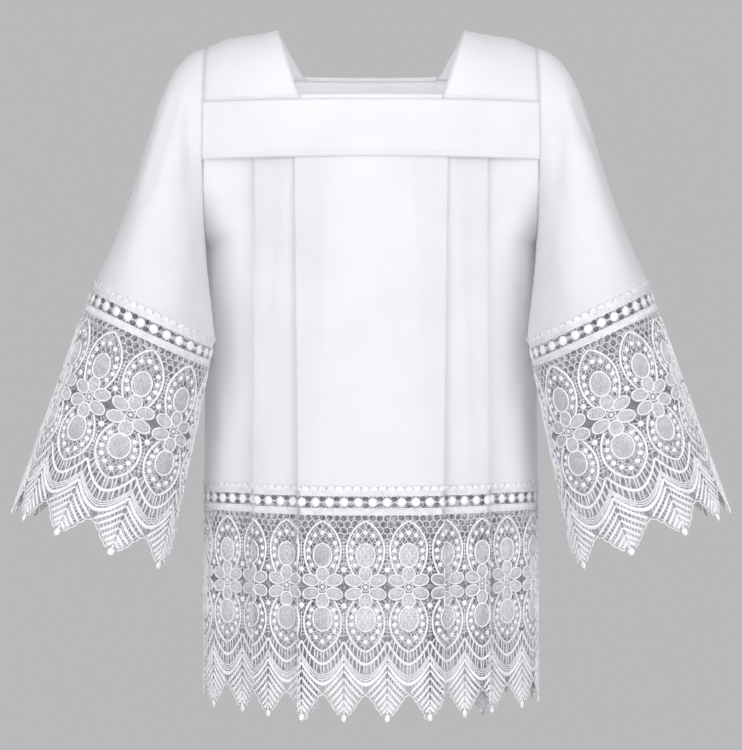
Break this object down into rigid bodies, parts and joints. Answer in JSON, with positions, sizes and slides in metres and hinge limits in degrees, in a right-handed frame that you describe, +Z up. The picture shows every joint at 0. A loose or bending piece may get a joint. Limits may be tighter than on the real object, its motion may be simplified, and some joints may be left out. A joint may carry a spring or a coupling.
{
  "type": "surplice",
  "caption": "White surplice with a square neck, a yoke, front pleats, wide sleeves and a deep guipure lace border on the hem and sleeves.",
  "frame": {"origin": "between the two shoulders, at the height and depth at which the garment rests on its wearer or hanger", "axes": "+Z up, -Y towards the front of the garment, +X towards the right of a viewer who faces the front"},
  "size_m": [0.8872, 0.2902, 0.8582],
  "materials": {
    "cloth": "matt plain-woven polyester",
    "lace": "satin-stitched guipure lace"
  },
  "bodies": {
    "root": {"front_yoke": "cloth", "neck_band_front": "cloth", "neck_band_back": "cloth", "shoulder_right": "cloth", "shoulder_left": "cloth", "back_panel": "cloth", "front_skirt": "cloth", "sleeve_right": "cloth", "sleeve_left": "cloth", "hem_lace_front": "lace", "hem_lace_back": "lace", "sleeve_lace_right_front": "lace", "sleeve_lace_right_back": "lace", "sleeve_lace_left_front": "lace", "sleeve_lace_left_back": "lace"}
  },
  "joints": []
}
